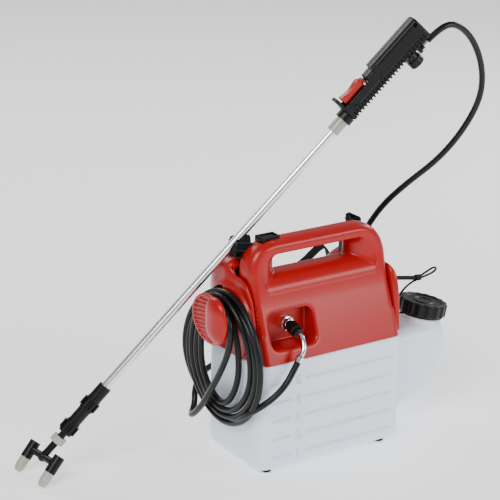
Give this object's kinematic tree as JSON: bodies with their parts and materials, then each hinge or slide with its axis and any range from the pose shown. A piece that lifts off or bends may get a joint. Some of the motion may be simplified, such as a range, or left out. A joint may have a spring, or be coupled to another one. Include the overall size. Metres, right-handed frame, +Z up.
{
  "type": "backpack sprayer",
  "caption": "Battery shoulder sprayer with translucent tank, moulded cover and handle, coiled hose on a side hook, telescopic lance and twin nozzles.",
  "frame": {"origin": "on the ground under the middle of the tank's four feet", "axes": "+Z up, +X to the right along the front face towards the filler, +Y from the front face to the back"},
  "size_m": [0.6724, 0.2284, 0.6095],
  "materials": {
    "tank_plastic": "translucent satin",
    "red_plastic": "gloss moulded",
    "black_plastic": "satin moulded",
    "grey_plastic": "satin",
    "beige_plastic": "satin",
    "clear_tube": "translucent",
    "cell_wrap": "gloss shrink wrap",
    "black_rubber": "matte",
    "black_hose": "semi-gloss vinyl",
    "webbing": "woven",
    "chrome": "polished",
    "steel": "brushed",
    "aluminium": "satin anodised",
    "grey_metal": "satin"
  },
  "bodies": {
    "tank": {"tank_shell": "tank_plastic", "tank_feet": "black_rubber", "cover_front": "red_plastic", "rear_housing": "red_plastic", "door_pin": "steel", "housing_screws": "steel", "switch_housing": "black_plastic", "battery_box": "grey_plastic", "battery_cells": "cell_wrap", "motor": "steel", "pump": "grey_plastic", "suction_tube": "clear_tube", "suction_filter": "grey_plastic", "delivery_hose": "clear_tube", "outlet_union": "chrome", "outlet_nut": "chrome", "outlet_sleeve": "black_plastic", "outlet_elbow": "chrome", "hose_hook": "red_plastic", "hose_coil": "black_hose", "hose_outlet_run": "black_hose", "hose_gun_run": "black_hose", "hose_clips": "chrome", "lance_tube": "aluminium", "collar_nut": "grey_metal", "sleeve_upper": "black_plastic", "gun_half_left": "black_plastic", "gun_half_right": "black_plastic", "gun_collar": "black_plastic", "trigger_pin": "steel", "valve_spring": "steel", "valve_body": "grey_plastic", "hose_barb": "black_plastic", "filler_strainer": "grey_plastic", "tether_ring": "black_rubber", "tether_sleeve": "black_rubber", "tether_bead": "black_rubber", "tether_cord": "black_rubber", "lance_rest": "red_plastic", "strap_anchors": "black_plastic", "strap_buckles": "black_plastic", "shoulder_strap": "webbing"},
    "rocker": {"switch_rocker": "black_plastic"},
    "door": {"battery_door": "red_plastic"},
    "gasket": {"cap_gasket": "black_rubber"},
    "cap": {"filler_cap": "black_plastic"},
    "trigger": {"trigger": "red_plastic"},
    "stem": {"valve_stem": "grey_plastic"},
    "plug": {"strainer_plug": "black_plastic"},
    "middle": {"lance_middle_tube": "aluminium", "sleeve_lower": "black_plastic"},
    "inner": {"lance_inner_tube": "aluminium"},
    "nut_upper": {"lock_nut_upper": "black_plastic"},
    "nut_lower": {"lock_nut_lower": "black_plastic"},
    "ring": {"union_ring": "beige_plastic"},
    "tee": {"nozzle_tee": "black_plastic"},
    "barrel_left": {"nozzle_barrel_left": "black_plastic"},
    "barrel_right": {"nozzle_barrel_right": "black_plastic"},
    "tip_left": {"nozzle_tip_left": "beige_plastic"},
    "tip_right": {"nozzle_tip_right": "beige_plastic"}
  },
  "joints": [
    {"name": "switch_rock", "type": "hinge", "parent": "tank", "child": "rocker", "pos_m": [-0.0705, -0.016, 0.319], "axis": [0, 1, 0], "range_deg": [0, 14]},
    {"name": "door_swing", "type": "hinge", "parent": "tank", "child": "door", "pos_m": [0, 0.0785, 0.1698], "axis": [-1, 0, 0], "range_deg": [0, 100]},
    {"name": "gasket_lift", "type": "slide", "parent": "tank", "child": "gasket", "axis": [0.196, -0.04, 0.9798], "range_m": [0, 0.006]},
    {"name": "cap_turn", "type": "hinge", "parent": "gasket", "child": "cap", "pos_m": [0.2065, -0.012, 0.176], "axis": [0.196, -0.04, 0.9798], "range_deg": [0, 540]},
    {"name": "trigger_squeeze", "type": "hinge", "parent": "tank", "child": "trigger", "pos_m": [0.06632, -0.03537, 0.52445], "axis": [-0.2525, -0.9676, 0.0005], "range_deg": [0, 9], "stiffness_Nm_per_rad": 1.2},
    {"name": "stem_slide", "type": "slide", "parent": "tank", "child": "stem", "axis": [0.6718, -0.1749, 0.7198], "range_m": [0, 0.0056]},
    {"name": "plug_turn", "type": "hinge", "parent": "tank", "child": "plug", "pos_m": [0.13212, -0.05252, 0.5575], "axis": [0.6964, -0.1821, -0.6942], "continuous": true},
    {"name": "middle_slide", "type": "slide", "parent": "tank", "child": "middle", "axis": [-0.6718, 0.1749, -0.7198], "range_m": [0, 0.3]},
    {"name": "inner_slide", "type": "slide", "parent": "middle", "child": "inner", "axis": [-0.6718, 0.1749, -0.7198], "range_m": [0, 0.28]},
    {"name": "nut_upper_turn", "type": "hinge", "parent": "tank", "child": "nut_upper", "pos_m": [-0.30611, 0.06161, 0.10093], "axis": [0.6718, -0.1749, 0.7198], "range_deg": [0, 180]},
    {"name": "nut_lower_turn", "type": "hinge", "parent": "middle", "child": "nut_lower", "pos_m": [-0.33433, 0.06896, 0.0707], "axis": [0.6718, -0.1749, 0.7198], "range_deg": [0, 180]},
    {"name": "tee_swivel", "type": "hinge", "parent": "inner", "child": "tee", "pos_m": [-0.35179, 0.0735, 0.05199], "axis": [0.6718, -0.1749, 0.7198], "continuous": true},
    {"name": "ring_turn", "type": "hinge", "parent": "tee", "child": "ring", "pos_m": [-0.35179, 0.0735, 0.05199], "axis": [0.6718, -0.1749, 0.7198], "continuous": true},
    {"name": "barrel_left_swivel", "type": "hinge", "parent": "tee", "child": "barrel_left", "pos_m": [-0.37205, 0.11235, 0.0302], "axis": [0.1, -0.995, 0], "range_deg": [-90, 90]},
    {"name": "barrel_right_swivel", "type": "hinge", "parent": "tee", "child": "barrel_right", "pos_m": [-0.36595, 0.05165, 0.0302], "axis": [0.1, -0.995, 0], "range_deg": [-90, 90]},
    {"name": "tip_left_turn", "type": "hinge", "parent": "barrel_left", "child": "tip_left", "pos_m": [-0.3854, 0.11101, 0.01537], "axis": [-0.6675, -0.0671, -0.7416], "continuous": true},
    {"name": "tip_right_turn", "type": "hinge", "parent": "barrel_right", "child": "tip_right", "pos_m": [-0.3793, 0.05031, 0.01537], "axis": [-0.6675, -0.0671, -0.7416], "continuous": true}
  ],
  "couplings": [
    {"joint": "gasket_lift", "follows": "cap_turn", "m_per_rad": 0.00063662},
    {"joint": "stem_slide", "follows": "trigger_squeeze", "m_per_rad": 0.034}
  ]
}
